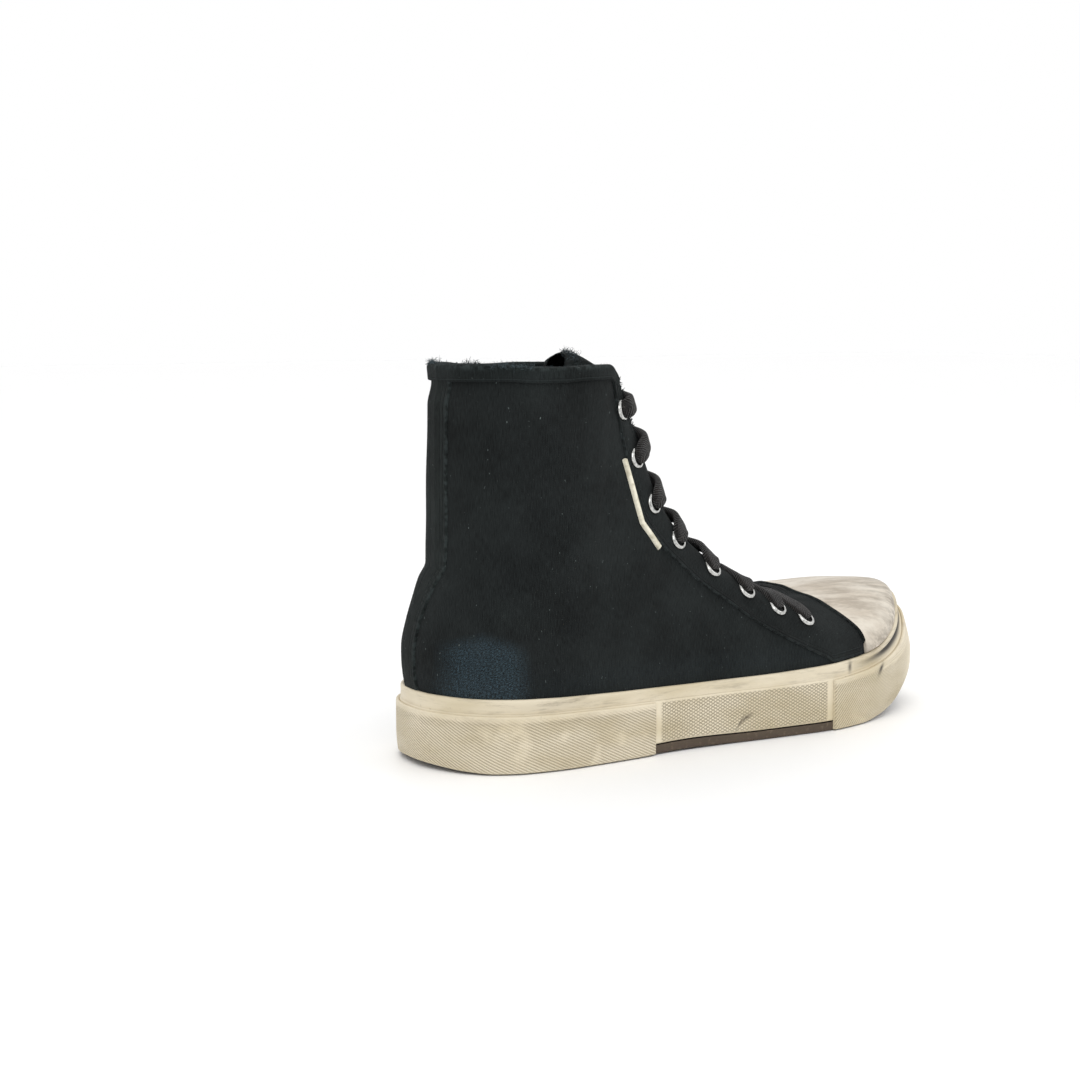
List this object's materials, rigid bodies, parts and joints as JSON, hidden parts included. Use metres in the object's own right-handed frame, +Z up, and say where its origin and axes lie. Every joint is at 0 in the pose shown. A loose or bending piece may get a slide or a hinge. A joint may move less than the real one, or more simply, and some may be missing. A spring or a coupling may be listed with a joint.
{
  "type": "high top sneaker",
  "caption": "Worn canvas high top sneaker for the right foot with a rubber toe cap, foxing, wraps, eyelets and flat laces, standing empty.",
  "frame": {"origin": "on the floor under the middle of the shoe's box", "axes": "+X towards the toe, +Y towards the inner side of the foot, +Z up"},
  "size_m": [0.287, 0.1008, 0.1778],
  "materials": {
    "canvas": "matte black canvas, slightly green in the worn places",
    "foxing_rubber": "cream rubber, matte, dirty along its top strip",
    "cap_rubber": "cream rubber, worn smooth",
    "outsole_rubber": "brown rubber, matte",
    "footbed_cloth": "grey woven footbed cover",
    "trim_cream": "cream strip, smooth",
    "eyelet_metal": "bright rolled metal",
    "lace_cotton": "flat woven lace, worn black brown"
  },
  "bodies": {
    "root": {"outsole": "outsole_rubber", "midsole": "foxing_rubber", "heel_wrap": "foxing_rubber", "toe_wrap": "foxing_rubber", "insole": "footbed_cloth", "upper": "canvas", "toe_cap": "cap_rubber", "toe_cap_band": "canvas", "eyestay_outer": "canvas", "eyestay_inner": "canvas", "trim_strip": "trim_cream", "heel_stay": "canvas", "collar_binding": "canvas", "tongue": "canvas", "eyelet_outer_1": "eyelet_metal", "eyelet_outer_2": "eyelet_metal", "eyelet_outer_3": "eyelet_metal", "eyelet_outer_4": "eyelet_metal", "eyelet_outer_5": "eyelet_metal", "eyelet_outer_6": "eyelet_metal", "eyelet_outer_7": "eyelet_metal", "eyelet_outer_8": "eyelet_metal", "eyelet_inner_1": "eyelet_metal", "eyelet_inner_2": "eyelet_metal", "eyelet_inner_3": "eyelet_metal", "eyelet_inner_4": "eyelet_metal", "eyelet_inner_5": "eyelet_metal", "eyelet_inner_6": "eyelet_metal", "eyelet_inner_7": "eyelet_metal", "eyelet_inner_8": "eyelet_metal", "lace_crossing_1": "lace_cotton", "lace_crossing_2": "lace_cotton", "lace_crossing_3": "lace_cotton", "lace_crossing_4": "lace_cotton", "lace_crossing_5": "lace_cotton", "lace_crossing_6": "lace_cotton", "lace_crossing_7": "lace_cotton"}
  },
  "joints": []
}
